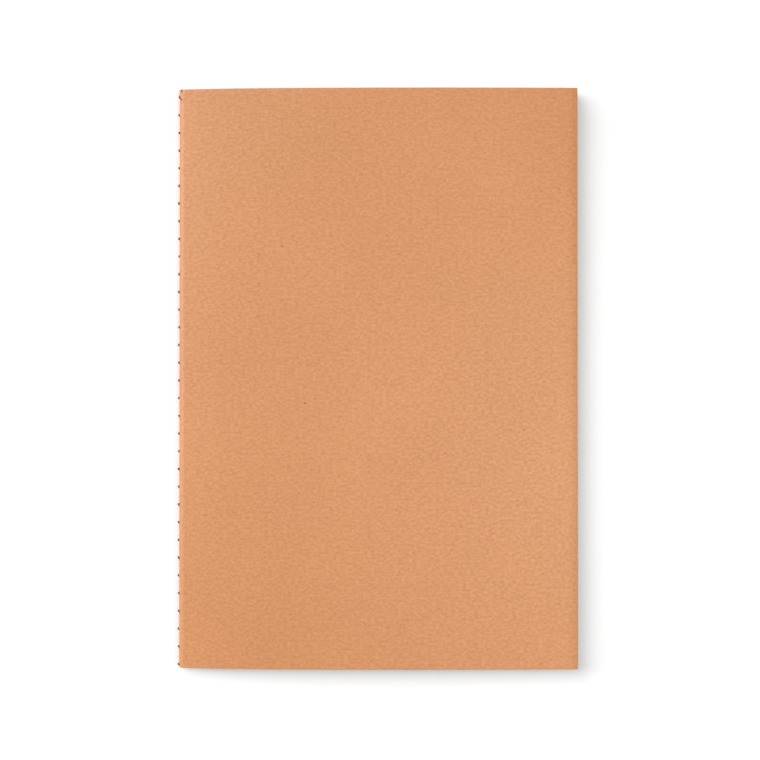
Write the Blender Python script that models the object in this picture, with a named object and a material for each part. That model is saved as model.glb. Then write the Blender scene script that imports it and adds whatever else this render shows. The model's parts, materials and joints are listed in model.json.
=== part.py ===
"""A sewn paper notebook: a folded card cover round one section of folded sheets,
held by two threads that lock through a row of holes in the fold.

Frame: +X from the sewn spine to the fore edge, +Y towards the head, +Z up. The origin is
under the middle of the closed notebook, on the surface that its back cover lies on.
"""

import math

import bmesh
import bpy

MM = 0.001

# Driving dimensions
COVER_WIDTH = 144.6 * MM
COVER_HEIGHT = 210.0 * MM
CARD = 0.35 * MM
PAPER = 0.08 * MM
SHEET_COUNT = 20
FOLD_PITCH = 0.10 * MM
INNER_FOLD_RADIUS = 0.30 * MM
FOLD_CLEARANCE = 0.02 * MM

# How far the closed block springs open above its pressed thickness
SPRING_RISE = 2.3 * MM
SPRING_RISE_LENGTH = 18.0 * MM
SPRING_BULGE = 1.3 * MM
SPRING_BULGE_SPAN = 165.0 * MM
EVEN_SPACING_LENGTH = 8.0 * MM

# The sewing
HOLE_COUNT = 33
HOLE_PITCH = 6.455 * MM
FIRST_HOLE_FROM_HEAD = 2.5 * MM
HOLE_WIDTH = 0.84 * MM
HOLE_LENGTH = 1.3 * MM
THREAD_RADIUS = 0.14 * MM
THREAD_SIDES = 6
KNOT_RADIUS = 0.36 * MM
KNOT_FLAT = 0.15 * MM
KNOT_TAPER_END = 0.65 * MM
KNOT_PROUD = 0.45 * MM
GROOVE_DEPTH = 0.22 * MM
BOBBIN_RADIUS = 0.16 * MM
BOBBIN_KNOT_RADIUS = 0.22 * MM
LEG_END_FROM_AXIS = 0.26 * MM

# Fineness of the curved sections
LEAF_STEPS = 10
LEAF_STEP_POWER = 1.6
FOLD_ARC_STEPS = 12
GROOVE_FLOOR_HALF_ANGLE = math.radians(5.0)
GROOVE_MOUTH_HALF_ANGLE = math.radians(6.0)
SMOOTH_ANGLE = math.radians(40.0)
CUTTER_OVERRUN = 1.0 * MM

# Worked out from the sizes above
HALF_HEIGHT = COVER_HEIGHT / 2
CARD_INNER_RADIUS = INNER_FOLD_RADIUS + SHEET_COUNT * FOLD_PITCH + FOLD_CLEARANCE
CARD_OUTER_RADIUS = CARD_INNER_RADIUS + CARD
CREST_X = -(COVER_WIDTH - KNOT_PROUD) / 2
AXIS_X = CREST_X + CARD_OUTER_RADIUS
AXIS_Z = CARD_OUTER_RADIUS
PANEL_LENGTH = COVER_WIDTH - CARD_OUTER_RADIUS
AXIS = (AXIS_X, 0.0, AXIS_Z)
WORLD_ORIGIN = (0.0, 0.0, 0.0)

# Looks: colour, roughness, metallic
KRAFT_CARD = ((0.70, 0.33, 0.16, 1.0), 0.85, 0.0)
BOOK_PAPER = ((0.86, 0.82, 0.72, 1.0), 0.90, 0.0)
SEWING_THREAD = ((0.10, 0.07, 0.055, 1.0), 0.75, 0.0)


def clear_scene():
    for obj in list(bpy.data.objects):
        bpy.data.objects.remove(obj, do_unlink=True)


def give_material(obj, look):
    colour, roughness, metallic = look
    material = bpy.data.materials.new(obj.name + "_finish")
    material.use_nodes = True
    shader = material.node_tree.nodes["Principled BSDF"]
    shader.inputs["Base Color"].default_value = colour
    shader.inputs["Roughness"].default_value = roughness
    shader.inputs["Metallic"].default_value = metallic
    material.diffuse_color = colour
    obj.data.materials.append(material)


def object_from(mesh_builder, name, look, origin):
    """Makes an object from a bmesh in world coordinates, with its origin at the given point."""
    bmesh.ops.recalc_face_normals(mesh_builder, faces=mesh_builder.faces)
    bmesh.ops.translate(mesh_builder, verts=mesh_builder.verts, vec=[-value for value in origin])
    mesh = bpy.data.meshes.new(name)
    mesh_builder.to_mesh(mesh)
    mesh_builder.free()
    obj = bpy.data.objects.new(name, mesh)
    obj.location = origin
    bpy.context.scene.collection.objects.link(obj)
    give_material(obj, look)
    mesh.shade_smooth()
    mesh.set_sharp_from_angle(angle=SMOOTH_ANGLE)
    return obj


def loft(rings):
    """A closed body through rings of points, with the first and the last ring capped."""
    builder = bmesh.new()
    rows = [[builder.verts.new(point) for point in ring] for ring in rings]
    for before, after in zip(rows, rows[1:]):
        count = len(before)
        for side in range(count):
            following = (side + 1) % count
            builder.faces.new((before[side], before[following], after[following], after[side]))
    builder.faces.new(rows[0])
    builder.faces.new(rows[-1])
    return builder


def spring_open(distance):
    """How much thicker the closed block is at this distance from the fold axis."""
    rise = SPRING_RISE * (1.0 - math.exp(-distance / SPRING_RISE_LENGTH))
    bulge = SPRING_BULGE * math.sin(math.pi * distance / SPRING_BULGE_SPAN)
    return rise + bulge


def block_top(distance):
    """Height of the front cover's outer face."""
    return 2.0 * CARD_OUTER_RADIUS + spring_open(distance)


def leaf_underside(order, height_at_fold, distance):
    """Height of a leaf's lower face. Order counts the leaves from the back cover up."""
    pitch = (block_top(distance) - 2.0 * CARD) / (2 * SHEET_COUNT)
    evenly_spaced = CARD + (order + 0.5) * pitch - PAPER / 2
    part = min(distance / EVEN_SPACING_LENGTH, 1.0)
    weight = part * part * (3.0 - 2.0 * part)
    return (1.0 - weight) * height_at_fold + weight * evenly_spaced


def stations():
    """Distances from the fold axis to the fore edge, closer together near the fold."""
    return [PANEL_LENGTH * (step / LEAF_STEPS) ** LEAF_STEP_POWER for step in range(LEAF_STEPS + 1)]


def slab_ring(x, low, high):
    return [
        (x, -HALF_HEIGHT, low),
        (x, HALF_HEIGHT, low),
        (x, HALF_HEIGHT, high),
        (x, -HALF_HEIGHT, high),
    ]


def make_front_cover():
    rings = []
    for distance in stations():
        top = block_top(distance)
        rings.append(slab_ring(AXIS_X + distance, top - CARD, top))
    return object_from(loft(rings), "front_cover", KRAFT_CARD, AXIS)


def make_back_cover():
    rings = [slab_ring(AXIS_X, 0.0, CARD), slab_ring(AXIS_X + PANEL_LENGTH, 0.0, CARD)]
    return object_from(loft(rings), "back_cover", KRAFT_CARD, WORLD_ORIGIN)


def make_leaf(name, order, height_at_fold, origin):
    rings = []
    for distance in stations():
        low = leaf_underside(order, height_at_fold, distance)
        rings.append(slab_ring(AXIS_X + distance, low, low + PAPER))
    return object_from(loft(rings), name, BOOK_PAPER, origin)


def make_sheets():
    """Each sheet is folded once, so it has a rear leaf below and a front leaf above."""
    for number in range(1, SHEET_COUNT + 1):
        fold_radius = INNER_FOLD_RADIUS + (SHEET_COUNT - number) * FOLD_PITCH
        rear_order = number - 1
        front_order = 2 * SHEET_COUNT - number
        rear_height = AXIS_Z - fold_radius - PAPER
        front_height = AXIS_Z + fold_radius
        make_leaf(f"sheet_{number:02d}_rear_leaf", rear_order, rear_height, WORLD_ORIGIN)
        make_leaf(f"sheet_{number:02d}_front_leaf", front_order, front_height, AXIS)


def arc_ring(angle, inner, outer):
    """A rectangle across the fold's wall, at this angle round the fold axis from +X."""
    across = math.cos(angle)
    up = math.sin(angle)
    return [
        (AXIS_X + inner * across, -HALF_HEIGHT, AXIS_Z + inner * up),
        (AXIS_X + inner * across, HALF_HEIGHT, AXIS_Z + inner * up),
        (AXIS_X + outer * across, HALF_HEIGHT, AXIS_Z + outer * up),
        (AXIS_X + outer * across, -HALF_HEIGHT, AXIS_Z + outer * up),
    ]


def half_turn_angles():
    """From straight up, round the spine side, to straight down."""
    quarter = math.pi / 2
    return [quarter + math.pi * step / FOLD_ARC_STEPS for step in range(FOLD_ARC_STEPS + 1)]


def hole_positions():
    first = HALF_HEIGHT - FIRST_HOLE_FROM_HEAD
    return [first - HOLE_PITCH * index for index in range(HOLE_COUNT)]


def make_hole_cutter():
    """Boxes along the needle's path, which runs straight in from the crest of the fold."""
    builder = bmesh.new()
    start = CREST_X - CUTTER_OVERRUN
    end = AXIS_X + CUTTER_OVERRUN
    for y in hole_positions():
        box = bmesh.ops.create_cube(builder, size=1.0)
        size = (end - start, HOLE_LENGTH, HOLE_WIDTH)
        bmesh.ops.scale(builder, verts=box["verts"], vec=size)
        bmesh.ops.translate(builder, verts=box["verts"], vec=((start + end) / 2, y, AXIS_Z))
    cutter = object_from(builder, "needle_path_cutter", SEWING_THREAD, WORLD_ORIGIN)
    cutter.hide_render = True
    cutter.display_type = "WIRE"
    return cutter


def cut_holes(obj, cutter):
    holes = obj.modifiers.new("needle_holes", "BOOLEAN")
    holes.operation = "DIFFERENCE"
    holes.solver = "EXACT"
    holes.object = cutter


def make_cover_spine(cutter):
    """The fold of the card, with the shallow groove that the tight thread presses into its crest."""
    groove = [
        (math.pi - GROOVE_MOUTH_HALF_ANGLE, CARD_OUTER_RADIUS),
        (math.pi - GROOVE_FLOOR_HALF_ANGLE, CARD_OUTER_RADIUS - GROOVE_DEPTH),
        (math.pi + GROOVE_FLOOR_HALF_ANGLE, CARD_OUTER_RADIUS - GROOVE_DEPTH),
        (math.pi + GROOVE_MOUTH_HALF_ANGLE, CARD_OUTER_RADIUS),
    ]
    plain = [(angle, CARD_OUTER_RADIUS) for angle in half_turn_angles()]
    clear_of_groove = [step for step in plain if abs(step[0] - math.pi) > GROOVE_MOUTH_HALF_ANGLE]
    outline = sorted(clear_of_groove + groove)
    rings = [arc_ring(angle, CARD_INNER_RADIUS, outer) for angle, outer in outline]
    spine = object_from(loft(rings), "cover_spine", KRAFT_CARD, WORLD_ORIGIN)
    cut_holes(spine, cutter)


def make_sheet_folds(cutter):
    """The pressed folds of all the sheets, as the one bundle that the threads hold together."""
    outer = INNER_FOLD_RADIUS + (SHEET_COUNT - 1) * FOLD_PITCH + PAPER
    rings = [arc_ring(angle, INNER_FOLD_RADIUS, outer) for angle in half_turn_angles()]
    folds = object_from(loft(rings), "sheet_folds", BOOK_PAPER, WORLD_ORIGIN)
    cut_holes(folds, cutter)


def thread_ring(x, y, radius):
    """A ring of the thread, turned so that one of its sides faces +X."""
    step = 2.0 * math.pi / THREAD_SIDES
    ring = []
    for side in range(THREAD_SIDES):
        angle = (side - 0.5) * step
        ring.append((x + radius * math.cos(angle), y, AXIS_Z + radius * math.sin(angle)))
    return ring


def thread_with_knots(x_run, run_radius, x_knot, knot_radius):
    """A thread from head to foot that thickens into a knot at every hole."""
    rings = [thread_ring(x_run, HALF_HEIGHT, run_radius)]
    for y in hole_positions():
        rings.append(thread_ring(x_run, y + KNOT_TAPER_END, run_radius))
        rings.append(thread_ring(x_knot, y + KNOT_FLAT, knot_radius))
        rings.append(thread_ring(x_knot, y - KNOT_FLAT, knot_radius))
        rings.append(thread_ring(x_run, y - KNOT_TAPER_END, run_radius))
    rings.append(thread_ring(x_run, -HALF_HEIGHT, run_radius))
    return loft(rings)


def inward_knot_faces(builder, x_knot):
    """The flat sides of the knots that face the fold axis, one at each hole."""
    found = []
    for face in builder.faces:
        centre = face.calc_center_median()
        near_hole = min(abs(centre.y - y) for y in hole_positions()) < KNOT_FLAT / 2
        inward = centre.x - x_knot > KNOT_RADIUS / 2 and abs(centre.z - AXIS_Z) < KNOT_RADIUS / 4
        if near_hole and inward:
            found.append(face)
    return found


def make_needle_thread():
    """The outer thread: a run along the crest, a knot at each hole and a leg through it."""
    x_run = CREST_X + GROOVE_DEPTH - FOLD_CLEARANCE - THREAD_RADIUS
    x_knot = CREST_X - KNOT_PROUD + KNOT_RADIUS * math.cos(math.pi / THREAD_SIDES)
    builder = thread_with_knots(x_run, THREAD_RADIUS, x_knot, KNOT_RADIUS)
    roots = inward_knot_faces(builder, x_knot)
    leg_length = (AXIS_X - LEG_END_FROM_AXIS) - roots[0].calc_center_median().x
    grown = bmesh.ops.extrude_discrete_faces(builder, faces=roots)
    for face in grown["faces"]:
        bmesh.ops.translate(builder, verts=face.verts, vec=(leg_length, 0.0, 0.0))
    object_from(builder, "needle_thread", SEWING_THREAD, WORLD_ORIGIN)


def make_bobbin_thread():
    """The inner thread: it lies in the middle of the centre sheet's fold."""
    builder = thread_with_knots(AXIS_X, BOBBIN_RADIUS, AXIS_X, BOBBIN_KNOT_RADIUS)
    object_from(builder, "bobbin_thread", SEWING_THREAD, WORLD_ORIGIN)


def main():
    clear_scene()
    make_front_cover()
    make_back_cover()
    make_sheets()
    cutter = make_hole_cutter()
    make_cover_spine(cutter)
    make_sheet_folds(cutter)
    make_needle_thread()
    make_bobbin_thread()


main()
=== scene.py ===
import json
import math

import bpy
import numpy as np
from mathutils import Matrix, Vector


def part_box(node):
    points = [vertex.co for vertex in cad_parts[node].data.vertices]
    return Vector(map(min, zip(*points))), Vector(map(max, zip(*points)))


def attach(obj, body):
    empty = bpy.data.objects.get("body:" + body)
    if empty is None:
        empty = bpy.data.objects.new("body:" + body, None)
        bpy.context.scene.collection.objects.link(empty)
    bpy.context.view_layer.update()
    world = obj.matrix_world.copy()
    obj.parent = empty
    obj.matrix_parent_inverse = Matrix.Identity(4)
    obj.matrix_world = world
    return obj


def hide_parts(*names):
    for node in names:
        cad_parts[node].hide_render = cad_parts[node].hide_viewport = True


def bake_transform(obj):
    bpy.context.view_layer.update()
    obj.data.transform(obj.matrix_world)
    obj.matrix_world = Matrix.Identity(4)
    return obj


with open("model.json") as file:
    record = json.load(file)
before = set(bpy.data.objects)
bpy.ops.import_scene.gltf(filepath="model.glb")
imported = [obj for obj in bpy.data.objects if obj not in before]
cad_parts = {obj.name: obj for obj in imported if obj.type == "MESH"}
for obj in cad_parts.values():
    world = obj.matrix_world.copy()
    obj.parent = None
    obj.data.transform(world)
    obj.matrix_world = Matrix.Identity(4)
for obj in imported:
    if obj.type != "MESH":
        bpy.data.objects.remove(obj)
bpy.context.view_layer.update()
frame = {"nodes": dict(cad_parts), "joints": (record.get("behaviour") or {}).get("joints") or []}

MM = 0.001

# ---------------------------------------------------------------- read from the frame

REAR_BODY = "rear_half"
COVER_BODY = "front_cover_panel"
PLACE_DIGITS = 7
SAME_PLACE = 0.001 * MM
BETWEEN_HOLES = 1.0 * MM


def corners(node):
    low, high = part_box(node)
    return Vector(low), Vector(high)


SHEETS = sum(1 for name in frame["nodes"] if name.endswith("_front_leaf"))
HINGE = next(joint for joint in frame["joints"] if joint["child"] == COVER_BODY)
AXIS_X, _, AXIS_Z = HINGE["pos_m"]
back_low, back_high = corners("back_cover")
spine_low, _ = corners("cover_spine")
folds_low, _ = corners("sheet_folds")
thread_low, _ = corners("needle_thread")
FOOT_Y = back_low.y
HEAD_Y = back_high.y
FORE_X = back_high.x
CARD = back_high.z - back_low.z
CARD_RADIUS = AXIS_X - spine_low.x
FOLDS_RADIUS = AXIS_X - folds_low.x
THREAD_PROUD = spine_low.x - thread_low.x
PANEL = FORE_X - AXIS_X


def slab_stations(node):
    """A CAD slab's places along X, and its lower and upper height at each."""
    points = np.array([vertex.co for vertex in frame["nodes"][node].data.vertices])
    places = np.unique(np.round(points[:, 0], PLACE_DIGITS))
    low = []
    high = []
    for place in places:
        heights = points[np.abs(points[:, 0] - place) < SAME_PLACE, 2]
        low.append(heights.min())
        high.append(heights.max())
    return places, np.array(low), np.array(high)


def smooth_curve(places, heights):
    """A smooth curve through the stations, as a function of X."""
    slopes = np.gradient(heights, places)

    def curve(x):
        x = np.clip(x, places[0], places[-1])
        at = np.clip(np.searchsorted(places, x) - 1, 0, len(places) - 2)
        span = places[at + 1] - places[at]
        t = (x - places[at]) / span
        start = (1 + 2 * t) * (1 - t) ** 2 * heights[at] + t * (1 - t) ** 2 * span * slopes[at]
        end = t**2 * (3 - 2 * t) * heights[at + 1] + t**2 * (t - 1) * span * slopes[at + 1]
        return start + end

    return curve


cover_places, _, cover_top = slab_stations("front_cover")
COVER_TOP = smooth_curve(cover_places, cover_top)
RISE_AT_FOLD = math.atan((cover_top[1] - cover_top[0]) / (cover_places[1] - cover_places[0]))
_, leaf_under, leaf_over = slab_stations(f"sheet_{SHEETS:02d}_rear_leaf")
PAPER = float(leaf_over[0] - leaf_under[0])
INNER_RADIUS = AXIS_Z - float(leaf_over[0])
FOLD_STEP = (FOLDS_RADIUS - PAPER - INNER_RADIUS) / (SHEETS - 1)


def hole_heights():
    """The Y of every needle hole, read from the legs of the CAD thread that go through them."""
    points = np.array([vertex.co for vertex in frame["nodes"]["needle_thread"].data.vertices])
    tips = np.sort(points[points[:, 0] > AXIS_X - 2 * INNER_RADIUS, 1])
    groups = np.split(tips, np.where(np.diff(tips) > BETWEEN_HOLES)[0] + 1)
    return np.array([group.mean() for group in groups])


HOLES = hole_heights()

# ---------------------------------------------------------------- sizes of the fine detail

GROOVE_DEPTH = 0.20 * MM
GROOVE_HALF_WIDTH = 0.26 * MM
RUN_RADIUS = 0.13 * MM
LOOP_RADIUS = 0.20 * MM
LEG_RADIUS = 0.12 * MM
PLY_DEPTH = 0.16
PLY_PITCH = 0.95 * MM
TAIL_RADIUS = 0.12 * MM
BOBBIN_RADIUS = 0.14 * MM
FOLD_PRESS = 0.45 * MM
PRESS_AT_CENTRE = 0.2
SWELL_HEIGHT = 0.16 * MM
SWELL_SHARE = 0.6
SWELL_START = 5.0
SWELL_WAVES = ((1.0, 5.1, 1.7, 0.6), (0.6, 9.3, -2.9, 2.1), (0.35, 15.7, 4.0, 0.0))
CARD_EDGE_BEVEL = 0.05 * MM
CARD_BEVEL_STEPS = 2
BEVEL_ANGLE = math.radians(60)
SHARP_ANGLE = math.radians(38)
RUN_SIDES = 12
LEG_SIDES = 10
PLIES = 3.0


def smoothstep(value):
    t = np.clip(value, 0.0, 1.0)
    return t * t * (3.0 - 2.0 * t)


def swell(x, y):
    """The slight unevenness of the sprung block: how much higher its top lies than in the plain shape."""
    along = (y - FOOT_Y) / (HEAD_Y - FOOT_Y)
    across = (x - AXIS_X) / PANEL
    wave = 0.0
    for size, per_length, per_width, phase in SWELL_WAVES:
        wave = wave + size * np.sin(per_length * along + per_width * across + phase)
    return SWELL_HEIGHT * wave * smoothstep(across * SWELL_START) * SWELL_SHARE


# ---------------------------------------------------------------- mesh building


def place_mesh(name, vertices, faces):
    mesh = bpy.data.meshes.new(name)
    mesh.from_pydata(vertices, [], faces)
    mesh.update()
    obj = bpy.data.objects.new(name, mesh)
    bpy.context.scene.collection.objects.link(obj)
    return obj


def grid_object(name, points, flat):
    """A sheet through a grid of points, with flat holding each point's place on the unfolded sheet."""
    rows, columns = points.shape[:2]
    index = np.arange(rows * columns).reshape(rows, columns)
    quads = np.stack([index[:-1, :-1], index[:-1, 1:], index[1:, 1:], index[1:, :-1]], axis=-1)
    faces = quads.reshape(-1, 4)
    obj = place_mesh(name, points.reshape(-1, 3).tolist(), faces.tolist())
    layer = obj.data.uv_layers.new(name="flat")
    layer.data.foreach_set("uv", flat.reshape(-1, 2)[faces.ravel()].astype(np.float32).ravel())
    return obj


def thicken(obj, thickness, side, bevel=0.0):
    """Gives a sheet its thickness, with a separate finish on its cut edges, and applies it."""
    solid = obj.modifiers.new("thickness", "SOLIDIFY")
    solid.thickness = thickness
    solid.offset = side
    solid.use_even_offset = True
    solid.material_offset_rim = 1
    if bevel:
        soft = obj.modifiers.new("cut_edges", "BEVEL")
        soft.width = bevel
        soft.segments = CARD_BEVEL_STEPS
        soft.limit_method = "ANGLE"
        soft.angle_limit = BEVEL_ANGLE
    graph = bpy.context.evaluated_depsgraph_get()
    made = bpy.data.meshes.new_from_object(obj.evaluated_get(graph))
    obj.modifiers.clear()
    plain = obj.data
    obj.data = made
    bpy.data.meshes.remove(plain)
    made.shade_smooth()
    made.set_sharp_from_angle(angle=SHARP_ANGLE)


def spread(start, end, count, power):
    """Places from start to end, closer together near start when power is above 1."""
    return start + (end - start) * np.linspace(0.0, 1.0, count) ** power


def tube(centres, radius, sides):
    """Rings along a path, each with three shallow lobes that turn along it as twisted plies do."""
    ahead = np.gradient(centres, axis=0)
    ahead /= np.linalg.norm(ahead, axis=1)[:, None]
    length = np.concatenate([[0.0], np.cumsum(np.linalg.norm(np.diff(centres, axis=0), axis=1))])
    reference = np.array([0.0, 0.0, 1.0])
    across = np.cross(ahead, reference)
    across /= np.linalg.norm(across, axis=1)[:, None]
    up = np.cross(across, ahead)
    angles = np.arange(sides) * 2.0 * math.pi / sides
    twist = (2.0 * math.pi * length / PLY_PITCH)[:, None]
    lobes = 1.0 + PLY_DEPTH * np.cos(PLIES * angles[None, :] - twist)
    reach = radius * lobes
    offsets = (reach * np.cos(angles))[:, :, None] * across[:, None, :]
    offsets += (reach * np.sin(angles))[:, :, None] * up[:, None, :]
    return centres[:, None, :] + offsets


def tubes_object(name, tubes):
    """One object from several closed tubes."""
    vertices = []
    faces = []
    for rings in tubes:
        count, sides = rings.shape[:2]
        base = len(vertices)
        vertices.extend(rings.reshape(-1, 3).tolist())
        for ring in range(count - 1):
            for side in range(sides):
                following = (side + 1) % sides
                first = base + ring * sides
                second = first + sides
                faces.append((first + side, first + following, second + following, second + side))
        faces.append(tuple(base + side for side in reversed(range(sides))))
        faces.append(tuple(base + (count - 1) * sides + side for side in range(sides)))
    obj = place_mesh(name, vertices, faces)
    obj.data.shade_smooth()
    return obj


# ---------------------------------------------------------------- node helpers

MIX_COLOUR_INPUTS = (0, 6, 7)
MIX_COLOUR_OUTPUT = 2
FLECK_CORE = 0.55


def new_material(name):
    material = bpy.data.materials.new(name)
    material.use_nodes = True
    tree = material.node_tree
    return material, tree, tree.nodes["Principled BSDF"]


def node(tree, kind, **inputs):
    made = tree.nodes.new(kind)
    for key, value in inputs.items():
        socket = made.inputs[key.replace("_", " ")]
        if isinstance(value, bpy.types.NodeSocket):
            tree.links.new(value, socket)
        else:
            socket.default_value = value
    return made


def stretched(tree, vector, size):
    """The coordinates scaled by size along each direction."""
    mapping = node(tree, "ShaderNodeMapping", Vector=vector, Scale=size)
    return mapping.outputs["Vector"]


def noise(tree, vector, scale, detail=2.0, roughness=0.5):
    made = node(tree, "ShaderNodeTexNoise", Vector=vector, Scale=scale, Detail=detail, Roughness=roughness)
    return made.outputs["Fac"]


def ranged(tree, value, low, high, to_low=0.0, to_high=1.0):
    made = node(tree, "ShaderNodeMapRange", Value=value)
    made.clamp = True
    made.inputs["From Min"].default_value = low
    made.inputs["From Max"].default_value = high
    made.inputs["To Min"].default_value = to_low
    made.inputs["To Max"].default_value = to_high
    return made.outputs["Result"]


def math_node(tree, operation, first, second):
    made = tree.nodes.new("ShaderNodeMath")
    made.operation = operation
    for socket, value in zip(made.inputs, (first, second)):
        if isinstance(value, bpy.types.NodeSocket):
            tree.links.new(value, socket)
        else:
            socket.default_value = value
    return made.outputs["Value"]


def faded(tree, value, strength):
    return math_node(tree, "MULTIPLY", value, strength)


def mixed(tree, factor, first, second):
    """The first colour, and the second in its place as the factor rises to 1."""
    made = tree.nodes.new("ShaderNodeMix")
    made.data_type = "RGBA"
    for place, value in zip(MIX_COLOUR_INPUTS, (factor, first, second)):
        if isinstance(value, bpy.types.NodeSocket):
            tree.links.new(value, made.inputs[place])
        else:
            made.inputs[place].default_value = value
    return made.outputs[MIX_COLOUR_OUTPUT]


def flecks(tree, vector, scale, radius, share):
    """1 inside small scattered spots: radius is in cells, and share is how many cells hold one."""
    cells = node(tree, "ShaderNodeTexVoronoi", Vector=vector, Scale=scale, Randomness=1.0)
    core = radius * FLECK_CORE
    near = ranged(tree, cells.outputs["Distance"], low=core, high=radius, to_low=1.0, to_high=0.0)
    split = node(tree, "ShaderNodeSeparateColor", Color=cells.outputs["Color"])
    chosen = math_node(tree, "LESS_THAN", split.outputs["Red"], share)
    return math_node(tree, "MULTIPLY", near, chosen)


def bump(tree, height, distance, strength, normal=None):
    made = node(tree, "ShaderNodeBump", Height=height, Distance=distance, Strength=strength)
    if normal is not None:
        tree.links.new(normal, made.inputs["Normal"])
    return made.outputs["Normal"]


def flat_coordinates(tree):
    made = tree.nodes.new("ShaderNodeUVMap")
    made.uv_map = "flat"
    return made.outputs["UV"]


def object_coordinates(tree):
    return tree.nodes.new("ShaderNodeTexCoord").outputs["Object"]


# ---------------------------------------------------------------- materials

CARD_BEND_SCALE = 900.0
CARD_BEND_REACH = 1.1 * MM
CARD_TONE = (0.556, 0.230, 0.085, 1.0)
CARD_TONE_WARM = (0.594, 0.249, 0.093, 1.0)
CARD_SHADE = (0.440, 0.160, 0.047, 1.0)
CARD_LIGHT = (0.680, 0.325, 0.153, 1.0)
CARD_DARK_FIBRE = (0.215, 0.080, 0.036, 1.0)
CARD_PALE_FIBRE = (0.700, 0.430, 0.260, 1.0)
CARD_SPECK = (0.100, 0.042, 0.026, 1.0)
CARD_EDGE_DARK = (0.400, 0.185, 0.090, 1.0)
CARD_EDGE_PALE = (0.560, 0.300, 0.160, 1.0)
CARD_EDGE_TORN = (0.300, 0.130, 0.065, 1.0)
PAPER_SHADE = (0.786, 0.738, 0.652, 1.0)
PAPER_LIGHT = (0.808, 0.762, 0.678, 1.0)
PAPER_FIBRE = (0.680, 0.635, 0.540, 1.0)
PAPER_SPECK = (0.420, 0.360, 0.280, 1.0)
PAPER_SHIFT = (0.31, 0.17)
PAGE_EDGE_LIGHT = (0.765, 0.685, 0.570, 1.0)
PAGE_EDGE_SHADE = (0.610, 0.530, 0.420, 1.0)
PAGE_EDGE_LEAF = (0.830, 0.760, 0.650, 1.0)
THREAD_DARK = (0.066, 0.022, 0.016, 1.0)
THREAD_LIGHT = (0.125, 0.052, 0.040, 1.0)
THREAD_LINT = (0.175, 0.090, 0.065, 1.0)


def kraft_card(name):
    """Uncoated brown card: pulp grain, pressed fibres in two directions, small dark and pale flecks."""
    material, tree, shader = new_material(name)
    place = flat_coordinates(tree)
    bend = node(tree, "ShaderNodeTexNoise", Vector=place, Scale=CARD_BEND_SCALE, Detail=2.0)
    wander = node(tree, "ShaderNodeVectorMath", Vector=bend.outputs["Color"])
    wander.operation = "SCALE"
    wander.inputs["Scale"].default_value = CARD_BEND_REACH
    moved = tree.nodes.new("ShaderNodeVectorMath")
    moved.operation = "ADD"
    tree.links.new(place, moved.inputs[0])
    tree.links.new(wander.outputs["Vector"], moved.inputs[1])
    wandering = moved.outputs["Vector"]

    clouds = noise(tree, place, scale=19.0)
    mottle = noise(tree, place, scale=260.0, detail=3.0)
    pulp = noise(tree, stretched(tree, place, (0.70, 1.0, 1.0)), scale=1040.0, detail=1.5)
    across = stretched(tree, wandering, (0.28, 1.0, 1.0))
    along = stretched(tree, wandering, (1.0, 0.35, 1.0))
    fibres_across = noise(tree, across, scale=3100.0, detail=3.0, roughness=0.6)
    fibres_along = noise(tree, along, scale=2700.0, roughness=0.55)
    short_fibres = stretched(tree, wandering, (0.55, 1.0, 1.0))
    pale_fibres = stretched(tree, wandering, (0.9, 0.6, 1.0))

    base = mixed(tree, ranged(tree, clouds, low=0.3, high=0.7), CARD_TONE, CARD_TONE_WARM)
    base = mixed(tree, ranged(tree, mottle, low=0.42, high=0.72, to_high=0.16), base, CARD_SHADE)
    base = mixed(tree, ranged(tree, pulp, low=0.52, high=0.22, to_high=0.48), base, CARD_SHADE)
    base = mixed(tree, ranged(tree, pulp, low=0.48, high=0.78, to_high=0.42), base, CARD_LIGHT)
    base = mixed(tree, ranged(tree, fibres_across, low=0.56, high=0.80, to_high=0.35), base, CARD_LIGHT)
    base = mixed(tree, ranged(tree, fibres_along, low=0.58, high=0.82, to_high=0.40), base, CARD_SHADE)
    dark_fibre = flecks(tree, short_fibres, scale=620.0, radius=0.20, share=0.14)
    base = mixed(tree, faded(tree, dark_fibre, strength=0.35), base, CARD_DARK_FIBRE)
    pale_fibre = flecks(tree, pale_fibres, scale=560.0, radius=0.20, share=0.10)
    base = mixed(tree, faded(tree, pale_fibre, strength=0.22), base, CARD_PALE_FIBRE)
    speck = flecks(tree, short_fibres, scale=112.0, radius=0.040, share=0.32)
    base = mixed(tree, faded(tree, speck, strength=0.62), base, CARD_SPECK)
    tree.links.new(base, shader.inputs["Base Color"])
    rough = ranged(tree, pulp, low=0.3, high=0.7, to_low=0.50, to_high=0.42)
    tree.links.new(rough, shader.inputs["Roughness"])
    shader.inputs["Specular IOR Level"].default_value = 0.5
    shader.inputs["Sheen Weight"].default_value = 0.14
    shader.inputs["Sheen Roughness"].default_value = 0.5
    coarse = bump(tree, mottle, distance=0.10 * MM, strength=0.30)
    fine = bump(tree, fibres_across, distance=0.035 * MM, strength=0.45, normal=coarse)
    normal = bump(tree, pulp, distance=0.045 * MM, strength=0.45, normal=fine)
    tree.links.new(normal, shader.inputs["Normal"])
    return material


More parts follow.
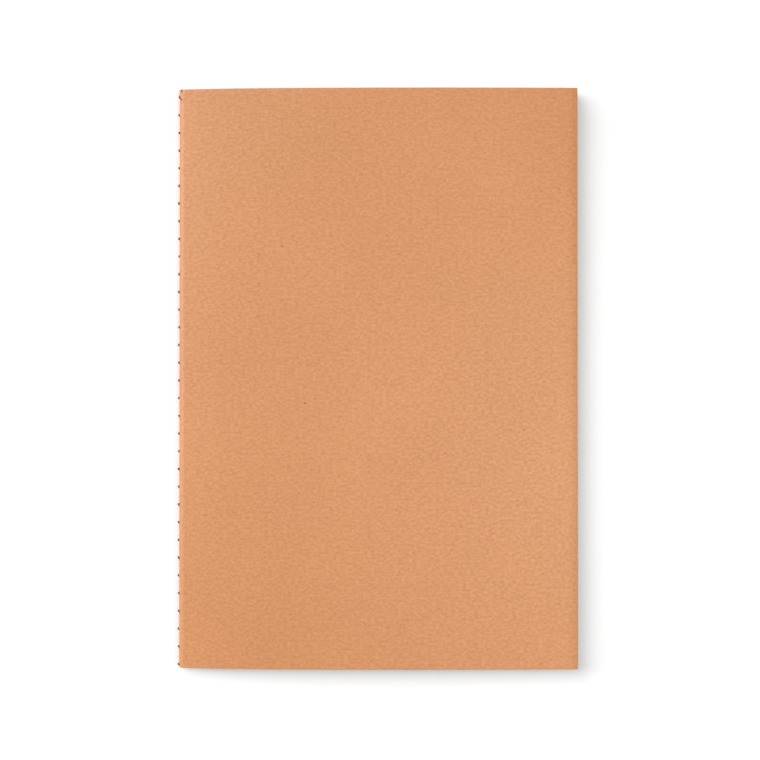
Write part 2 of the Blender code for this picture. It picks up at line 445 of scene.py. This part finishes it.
def card_edge(name):
    """The cut edge of the card: paler torn fibre in thin layers."""
    material, tree, shader = new_material(name)
    place = object_coordinates(tree)
    layers = noise(tree, stretched(tree, place, (0.15, 0.15, 1.0)), scale=14000.0)
    torn = noise(tree, place, scale=2600.0, detail=3.0, roughness=0.7)
    base = mixed(tree, ranged(tree, layers, low=0.35, high=0.65), CARD_EDGE_DARK, CARD_EDGE_PALE)
    base = mixed(tree, ranged(tree, torn, low=0.5, high=0.75, to_high=0.5), base, CARD_EDGE_TORN)
    tree.links.new(base, shader.inputs["Base Color"])
    shader.inputs["Roughness"].default_value = 0.92
    shader.inputs["Specular IOR Level"].default_value = 0.2
    tree.links.new(bump(tree, torn, distance=0.05 * MM, strength=0.6), shader.inputs["Normal"])
    return material


def book_paper(name, seed):
    """Uncoated off-white page: soft cloudiness against the light and short fibres."""
    material, tree, shader = new_material(name)
    place = flat_coordinates(tree)
    shift = (seed * PAPER_SHIFT[0], seed * PAPER_SHIFT[1], 0.0)
    mapping = node(tree, "ShaderNodeMapping", Vector=place, Location=shift)
    place = mapping.outputs["Vector"]
    clouds = noise(tree, place, scale=150.0, detail=4.0, roughness=0.6)
    along = stretched(tree, place, (0.35, 1.0, 1.0))
    fibres = noise(tree, along, scale=3400.0, detail=3.0, roughness=0.6)
    base = mixed(tree, ranged(tree, clouds, low=0.3, high=0.7), PAPER_SHADE, PAPER_LIGHT)
    base = mixed(tree, ranged(tree, fibres, low=0.55, high=0.80, to_high=0.35), base, PAPER_FIBRE)
    speck = flecks(tree, place, scale=260.0, radius=0.07, share=0.22)
    base = mixed(tree, faded(tree, speck, strength=0.45), base, PAPER_SPECK)
    tree.links.new(base, shader.inputs["Base Color"])
    rough = ranged(tree, fibres, low=0.3, high=0.7, to_low=0.80, to_high=0.95)
    tree.links.new(rough, shader.inputs["Roughness"])
    shader.inputs["Specular IOR Level"].default_value = 0.25
    soft = bump(tree, clouds, distance=0.04 * MM, strength=0.3)
    normal = bump(tree, fibres, distance=0.02 * MM, strength=0.45, normal=soft)
    tree.links.new(normal, shader.inputs["Normal"])
    return material


def paper_edge(name):
    """The guillotined edge of the pages, slightly darker than their faces."""
    material, tree, shader = new_material(name)
    place = object_coordinates(tree)
    upright = stretched(tree, place, (1.0, 1.0, 0.1))
    nicks = noise(tree, upright, scale=1900.0, detail=3.0, roughness=0.65)
    leaves = noise(tree, stretched(tree, place, (0.02, 0.02, 1.0)), scale=9000.0, detail=1.0)
    base = mixed(tree, ranged(tree, nicks, low=0.35, high=0.7), PAGE_EDGE_LIGHT, PAGE_EDGE_SHADE)
    base = mixed(tree, ranged(tree, leaves, low=0.4, high=0.65, to_high=0.5), base, PAGE_EDGE_LEAF)
    tree.links.new(base, shader.inputs["Base Color"])
    shader.inputs["Roughness"].default_value = 0.93
    shader.inputs["Specular IOR Level"].default_value = 0.2
    tree.links.new(bump(tree, nicks, distance=0.03 * MM, strength=0.5), shader.inputs["Normal"])
    return material


def spun_thread(name):
    """Dark polyester-cotton sewing thread: fine filaments along its plies, and lint."""
    material, tree, shader = new_material(name)
    place = object_coordinates(tree)
    along = stretched(tree, place, (1.0, 0.25, 1.0))
    filaments = noise(tree, along, scale=16000.0, detail=3.0, roughness=0.6)
    lint = noise(tree, place, scale=2200.0)
    base = mixed(tree, ranged(tree, filaments, low=0.35, high=0.7), THREAD_DARK, THREAD_LIGHT)
    base = mixed(tree, ranged(tree, lint, low=0.55, high=0.8, to_high=0.5), base, THREAD_LINT)
    tree.links.new(base, shader.inputs["Base Color"])
    rough = ranged(tree, filaments, low=0.3, high=0.7, to_low=0.55, to_high=0.8)
    tree.links.new(rough, shader.inputs["Roughness"])
    shader.inputs["Specular IOR Level"].default_value = 0.2
    shader.inputs["Sheen Weight"].default_value = 0.06
    shader.inputs["Sheen Roughness"].default_value = 0.4
    tree.links.new(bump(tree, filaments, distance=0.03 * MM, strength=0.8), shader.inputs["Normal"])
    return material


def dress(obj, *materials):
    obj.data.materials.clear()
    for material in materials:
        obj.data.materials.append(material)


# ---------------------------------------------------------------- shares of the fold's turn


def fold_share(points, radius):
    """Each point's share of the cover's turn: 0 under the fold axis, 1 over it, and even round the spine
    side. Nearer the axis than the radius, points keep closer to the share of the crest, which is a half."""
    outward = AXIS_X - points[:, 0]
    upward = points[:, 2] - AXIS_Z
    angle = np.clip(np.arctan2(upward, outward), -math.pi / 2, math.pi / 2)
    return 0.5 + angle / math.pi * np.clip(np.hypot(outward, upward) / radius, 0.0, 1.0)


def bend_about_fold(obj, radius):
    """Works out each point's share of the fold's turn, then puts the piece's points back as they were: it
    is not bent.
    """
    mesh = obj.data
    points = np.array([vertex.co for vertex in mesh.vertices])
    share = np.clip(fold_share(points, radius), 0.0, 1.0)
    stretched_out = np.zeros_like(points)
    stretched_out[:, 0] = 0.5 - np.sin(np.arcsin(1.0 - 2.0 * share) / 3.0)
    mesh.vertices.foreach_set("co", stretched_out.ravel())
    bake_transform(obj)
    mesh.vertices.foreach_set("co", points.ravel())
    mesh.update()


# ---------------------------------------------------------------- the card cover

ROWS_BESIDE_HOLE = np.array([0.2, 0.4, 0.6, 0.85, 1.2, 1.9]) * MM
CARD_END = 0.1 * MM
COLUMNS_UNDER = 20
COLUMNS_OVER = 56
COLUMNS_ROUND = 41
CROWDING_UNDER = 1.7
CROWDING_OVER = 1.6
DIMPLE_DEPTH = 0.42 * MM
DIMPLE_REACH_ROUND = 1.15 * MM
DIMPLE_REACH_ALONG = 0.75 * MM
DIMPLE_BELOW_HOLE = 0.25 * MM
DIMPLE_MEAN = 0.75
DIMPLE_VARIATION = 0.35
DIMPLE_SPREAD = 2.4


def cover_rows():
    """Places along the spine, closer together around each needle hole."""
    near = np.concatenate([-ROWS_BESIDE_HOLE[::-1], [0.0], ROWS_BESIDE_HOLE])
    rows = np.concatenate([hole + near for hole in HOLES] + [HOLES[:-1] + np.diff(HOLES) / 2])
    rows = rows[(rows > FOOT_Y + CARD_END) & (rows < HEAD_Y - CARD_END)]
    return np.concatenate([[FOOT_Y], np.sort(rows), [HEAD_Y]])


def pulled_in(round_crest, y):
    """How far the tight thread pulls the card in, at this distance round the fold from its crest."""
    groove = GROOVE_DEPTH * np.exp(-((round_crest / GROOVE_HALF_WIDTH) ** 2))
    dimple = np.zeros_like(y)
    for number, hole in enumerate(HOLES):
        strength = DIMPLE_MEAN + DIMPLE_VARIATION * math.sin(number * DIMPLE_SPREAD)
        off_centre = (y - hole + DIMPLE_BELOW_HOLE) / DIMPLE_REACH_ALONG
        shape = np.exp(-(off_centre**2) - (round_crest / DIMPLE_REACH_ROUND) ** 2)
        dimple = np.maximum(dimple, strength * DIMPLE_DEPTH * shape)
    return np.maximum(groove, dimple)


def cover_points():
    """The outer face of the card as a grid, and each point's place on the card laid flat."""
    rows = cover_rows()
    under = spread(AXIS_X, FORE_X, COLUMNS_UNDER, CROWDING_UNDER)[:0:-1]
    over = spread(AXIS_X, FORE_X, COLUMNS_OVER, CROWDING_OVER)[1:]
    arc = np.linspace(-math.pi / 2, math.pi / 2 - RISE_AT_FOLD, COLUMNS_ROUND)
    arc_length = math.pi * CARD_RADIUS
    points = []
    flat = []
    for y in rows:
        line = [(x, y, back_low.z) for x in under]
        pull = pulled_in(arc * CARD_RADIUS, np.full_like(arc, y))
        reach = CARD_RADIUS - pull
        line += list(zip(AXIS_X - reach * np.cos(arc), np.full_like(arc, y), AXIS_Z + reach * np.sin(arc)))
        heights = COVER_TOP(over) + swell(over, np.full_like(over, y))
        line += list(zip(over, np.full_like(over, y), heights))
        points.append(line)
        round_fold = CARD_RADIUS * arc + arc_length / 2
        places = np.concatenate([AXIS_X - under, round_fold, arc_length + over - AXIS_X])
        flat.append(np.stack([places, np.full_like(places, y)], axis=1))
    return np.array(points), np.array(flat)


def make_cover():
    points, flat = cover_points()
    cover = grid_object("card_cover", points, flat)
    dress(cover, kraft_card("kraft_card"), card_edge("kraft_card_edge"))
    thicken(cover, CARD, -1.0, CARD_EDGE_BEVEL)
    bend_about_fold(cover, CARD_RADIUS - CARD)
    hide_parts("front_cover", "back_cover", "cover_spine")


# ---------------------------------------------------------------- the sheets

SEED = 33
random = np.random.default_rng(SEED)
LEAF_COUNT = 2 * SHEETS
LEAF_COLUMNS = 30
LEAF_ROWS = 29
FOLD_COLUMNS = 25
LEAF_CROWDING = 1.6
LOOSE_REACH = 0.85
LOOSE_WAVES = 0.42
LOOSE_SHARE = 0.42
LOOSE_START = 2.2
LOOSE_DELAY = 0.1
BUNCHES = ((1.0, 1.0, 3.2, 0.5), (0.35, 2.3, -4.9, 1.9))
LEAF_JITTER = 0.07
EDGE_JITTER = 0.06
leaf_jitter = random.uniform(-LEAF_JITTER, LEAF_JITTER, LEAF_COUNT)
edge_jitter = random.uniform(0.0, EDGE_JITTER, LEAF_COUNT) * MM


def bunching(order, x, y):
    """How far a leaf lies from its even place in the block, in leaf spacings: leaves cling in groups."""
    along = (y - FOOT_Y) / (HEAD_Y - FOOT_Y)
    window = math.sin(math.pi * (order + 0.5) / LEAF_COUNT)
    wave = 0.0
    for size, per_leaf, per_length, phase in BUNCHES:
        wave = wave + size * np.sin(per_leaf * LOOSE_WAVES * order + per_length * along + phase)
    free = smoothstep((x - AXIS_X) / PANEL * LOOSE_START - LOOSE_DELAY)
    return free * window * (LOOSE_REACH * wave + leaf_jitter[order])


def leaf_height(curve, order, x, y):
    share = (order + 0.5) / LEAF_COUNT
    spacing = (COVER_TOP(x) - 2.0 * CARD) / LEAF_COUNT
    return curve(x) + share * swell(x, y) + bunching(order, x, y) * spacing * LOOSE_SHARE


def make_leaf(node_name, order, body, finish, edge):
    places, under, _ = slab_stations(node_name)
    curve = smooth_curve(places, under)
    columns = spread(AXIS_X, FORE_X - edge_jitter[order], LEAF_COLUMNS, LEAF_CROWDING)
    rows = np.linspace(FOOT_Y + edge_jitter[order], HEAD_Y - edge_jitter[-1 - order], LEAF_ROWS)
    x, y = np.meshgrid(columns, rows)
    z = leaf_height(curve, order, x, y)
    points = np.stack([x, y, z], axis=-1)
    leaf = grid_object(node_name + "_page", points, np.stack([x - AXIS_X, y], axis=-1))
    dress(leaf, finish, edge)
    thicken(leaf, PAPER, 1.0)
    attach(leaf, body)
    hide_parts(node_name)


def make_fold(number, finish, edge):
    """The fold that joins a sheet's two leaves: a half round, pressed in at its crest by the tight sewing,
    most in the outermost sheet, so that the card's dimples don't reach into it."""
    radius = INNER_RADIUS + (SHEETS - number) * FOLD_STEP
    press = FOLD_PRESS * (1.0 - (1.0 - PRESS_AT_CENTRE) * (number - 1) / (SHEETS - 1))
    arc = np.linspace(-math.pi / 2, math.pi / 2, FOLD_COLUMNS)
    rows = np.linspace(FOOT_Y, HEAD_Y, LEAF_ROWS)
    turn, y = np.meshgrid(arc, rows)
    reach = radius - press * np.cos(turn) ** 2
    points = np.stack([AXIS_X - reach * np.cos(turn), y, AXIS_Z + reach * np.sin(turn)], axis=-1)
    fold = grid_object(f"sheet_{number:02d}_fold", points, np.stack([radius * turn, y], axis=-1))
    dress(fold, finish, edge)
    thicken(fold, PAPER, 1.0)
    bend_about_fold(fold, radius - press)
    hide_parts("sheet_folds")


def make_sheets():
    edge = paper_edge("page_edge")
    for number in range(1, SHEETS + 1):
        finish = book_paper(f"page_paper_{number:02d}", number)
        body = f"front_leaf_{number:02d}"
        make_leaf(f"sheet_{number:02d}_rear_leaf", number - 1, REAR_BODY, finish, edge)
        make_leaf(f"sheet_{number:02d}_front_leaf", LEAF_COUNT - number, body, finish, edge)
        make_fold(number, finish, edge)


# ---------------------------------------------------------------- the sewing

CREST_X = AXIS_X - CARD_RADIUS
RUN_SUNK = 0.3
RUN_X = CREST_X + GROOVE_DEPTH - RUN_SUNK * RUN_RADIUS
LOOP_LEAN = 0.12
SMALLEST_LOOP = 0.85
LARGEST_LOOP = 1.15
FIRST_LOOP = 0.62
LOOP_HALF_LENGTH = 0.42 * MM
LOOP_HALF_SLANT = 0.17 * MM
LOOP_SINKS = 1.1 * MM
LOOP_SQUARENESS = 2.6
LOOP_CLOSES_ALONG = 0.55
LOOP_CLOSES_ACROSS = 0.5
RUN_STEP = 0.11 * MM
RUN_END = 0.2 * MM
RUN_DIP = 0.10 * MM
RUN_DIP_REACH = 0.7 * MM
RUN_SWAYS = ((0.05 * MM, 7.3 * MM, 0.0), (0.03 * MM, 2.9 * MM, 1.0))
INNER_STEP = 0.13 * MM
INNER_END = 0.3 * MM
INNER_LIFT = 0.05 * MM
INNER_LIFT_REACH = 0.5 * MM
INNER_OFF_PAPER = 1.2
LEG_START = 1.2 * MM
LEG_END = 0.9
LEG_SWAY = 0.02 * MM
LEG_SWAY_TURN = 6.0
LOOP_RINGS = 41
LEG_RINGS = 24
TAIL_RINGS = 36
loop_lean = random.uniform(-LOOP_LEAN, LOOP_LEAN, len(HOLES))
loop_size = random.uniform(SMALLEST_LOOP, LARGEST_LOOP, len(HOLES))
FIRST = int(np.argmax(HOLES))
loop_size[FIRST] = FIRST_LOOP


def outer_run():
    """The taut thread along the crest, dipping a little into the card at every hole."""
    y = np.arange(HEAD_Y - RUN_END, FOOT_Y + RUN_END, -RUN_STEP)
    nearest = np.abs(y[:, None] - HOLES[None, :]).min(axis=1)
    dip = RUN_DIP * np.exp(-((nearest / RUN_DIP_REACH) ** 2))
    sway = sum(size * np.sin(y / length + phase) for size, length, phase in RUN_SWAYS)
    centres = np.stack([RUN_X + dip, y, AXIS_Z + sway], axis=1)
    return tube(centres, RUN_RADIUS, RUN_SIDES)


def stitch_loop(number):
    """A small slanted loop over the run at one hole, with both its ends going in through the fold."""
    hole = HOLES[number]
    size = loop_size[number]
    lean = loop_lean[number] * MM
    turn = np.linspace(-1.0, 1.0, LOOP_RINGS)
    depth = np.abs(turn) ** LOOP_SQUARENESS
    outermost = CREST_X - THREAD_PROUD * size + LOOP_RADIUS
    x = outermost + depth * LOOP_SINKS
    along = LOOP_HALF_LENGTH * size * np.sin(turn * math.pi / 2)
    y = hole + along * (1.0 - LOOP_CLOSES_ALONG * depth)
    z = AXIS_Z + lean + LOOP_HALF_SLANT * turn * (1.0 - LOOP_CLOSES_ACROSS * depth)
    return tube(np.stack([x, y, z], axis=1), LOOP_RADIUS, RUN_SIDES)


def stitch_leg(number):
    """The part of the stitch inside the fold, from the ends of its loop to the fold of the centre sheet."""
    hole = HOLES[number]
    x = np.linspace(CREST_X + LEG_START, AXIS_X - LEG_END * INNER_RADIUS, LEG_RINGS)
    y = np.full_like(x, hole)
    z = AXIS_Z + LEG_SWAY * np.sin(np.linspace(0.0, LEG_SWAY_TURN, LEG_RINGS))
    return tube(np.stack([x, y, z], axis=1), LEG_RADIUS, LEG_SIDES)


def tail(turn, reach, y):
    """A loose end of the thread, through these turns from the crest, distances from the fold axis and
    places along the spine."""
    places = np.linspace(0.0, 1.0, len(turn))
    steps = np.linspace(0.0, 1.0, TAIL_RINGS)
    turn, reach, y = (smooth_curve(places, np.array(values))(steps) for values in (turn, reach, y))
    centres = np.stack([AXIS_X - reach * np.cos(turn), y, AXIS_Z + reach * np.sin(turn)], axis=1)
    return tube(centres, TAIL_RADIUS, RUN_SIDES)


def tails():
    """Where the sewing starts, at the head: one end slants across the first hole, and the other comes out
    from under the card and hooks over its head edge."""
    on_card = CARD_RADIUS + TAIL_RADIUS
    under_card = CARD_RADIUS - CARD - TAIL_RADIUS
    slanting = tail(
        turn=[0.0, 0.15, 0.5, 0.95],
        reach=on_card + np.array([0.0, 0.10, 0.12, 0.0]) * MM,
        y=HOLES[FIRST] + np.array([0.8, 0.2, -0.5, -1.3]) * MM,
    )
    hooked = tail(
        turn=[0.80, 0.83, 0.87, 0.98],
        reach=[under_card, CARD_RADIUS - CARD / 2, on_card, on_card],
        y=HEAD_Y + np.array([-0.22, 0.08, -0.15, -0.95]) * MM,
    )
    return [slanting, hooked]


def inner_run():
    """The thread in the centre fold, lying against the paper and lifting slightly at each hole."""
    y = np.arange(HEAD_Y - INNER_END, FOOT_Y + INNER_END, -INNER_STEP)
    nearest = np.abs(y[:, None] - HOLES[None, :]).min(axis=1)
    lift = INNER_LIFT * np.exp(-((nearest / INNER_LIFT_REACH) ** 2))
    paper = AXIS_X - INNER_RADIUS + PRESS_AT_CENTRE * FOLD_PRESS
    x = paper + BOBBIN_RADIUS * INNER_OFF_PAPER + lift
    centres = np.stack([x, y, np.full_like(y, AXIS_Z)], axis=1)
    return tube(centres, BOBBIN_RADIUS, LEG_SIDES)


def make_threads():
    finish = spun_thread("sewing_thread")
    parts = [outer_run()] + tails()
    for number in range(len(HOLES)):
        parts.append(stitch_loop(number))
        parts.append(stitch_leg(number))
    outer = tubes_object("outer_thread", parts)
    dress(outer, finish)
    bend_about_fold(outer, CARD_RADIUS - CARD)
    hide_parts("needle_thread")
    inner = tubes_object("inner_thread", [inner_run()])
    dress(inner, finish)
    bend_about_fold(inner, CARD_RADIUS - CARD)
    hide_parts("bobbin_thread")


# ---------------------------------------------------------------- floor, light and camera

CAMERA_DISTANCE = 0.560
CAMERA_LENS = 73.51
CAMERA_TILT = math.radians(0.58)
SENSOR_WIDTH = 36.0
AIM = Vector((0.0011, -0.0007, 0.0086))
KEY_PLACE = (-4.4, 3.5, 6.4)
KEY_SIZE = 8.4
KEY_POWER = 594.0
OVERHEAD_PLACE = (0.18, -0.05, 0.49)
OVERHEAD_SIZE = 0.30
OVERHEAD_POWER = 0.90
SIDE_PLACE = (-2.2, 0.3, 0.75)
SIDE_SIZE = 0.8
SIDE_POWER = 18.0
SURROUND = 0.31
SURROUND_COLOUR = (1.0, 1.0, 1.0, 1.0)
FLOOR_SIZE = 24.0
FLOOR_DROP = 0.02 * MM
FLOOR_COLOUR = (0.93, 0.93, 0.93, 1.0)


def make_floor():
    bpy.ops.mesh.primitive_plane_add(size=FLOOR_SIZE, location=(0.0, 0.0, -FLOOR_DROP))
    floor = bpy.context.object
    floor.name = "floor"
    material, _, shader = new_material("studio_floor")
    shader.inputs["Base Color"].default_value = FLOOR_COLOUR
    shader.inputs["Roughness"].default_value = 0.9
    shader.inputs["Specular IOR Level"].default_value = 0.1
    dress(floor, material)


def add_area(name, location, size, power):
    data = bpy.data.lights.new(name, "AREA")
    data.shape = "DISK"
    data.size = size
    data.energy = power
    light = bpy.data.objects.new(name, data)
    bpy.context.scene.collection.objects.link(light)
    light.location = location
    light.rotation_euler = (-Vector(location)).to_track_quat("-Z", "Y").to_euler()


def make_light():
    add_area("key_softbox", KEY_PLACE, KEY_SIZE, KEY_POWER)
    add_area("overhead_softbox", OVERHEAD_PLACE, OVERHEAD_SIZE, OVERHEAD_POWER)
    add_area("side_softbox", SIDE_PLACE, SIDE_SIZE, SIDE_POWER)
    world = bpy.data.worlds.new("soft_studio")
    bpy.context.scene.world = world
    world.use_nodes = True
    background = world.node_tree.nodes["Background"]
    background.inputs["Color"].default_value = SURROUND_COLOUR
    background.inputs["Strength"].default_value = SURROUND
    bpy.context.scene.view_settings.view_transform = "Standard"


def make_camera():
    data = bpy.data.cameras.new("camera")
    data.lens = CAMERA_LENS
    data.sensor_width = SENSOR_WIDTH
    camera = bpy.data.objects.new("camera", data)
    bpy.context.scene.collection.objects.link(camera)
    back = Vector((0.0, -math.sin(CAMERA_TILT), math.cos(CAMERA_TILT)))
    camera.location = AIM + back * CAMERA_DISTANCE
    camera.rotation_euler = (CAMERA_TILT, 0.0, 0.0)
    bpy.context.scene.camera = camera


make_camera()
make_floor()
make_light()
make_cover()
make_sheets()
make_threads()
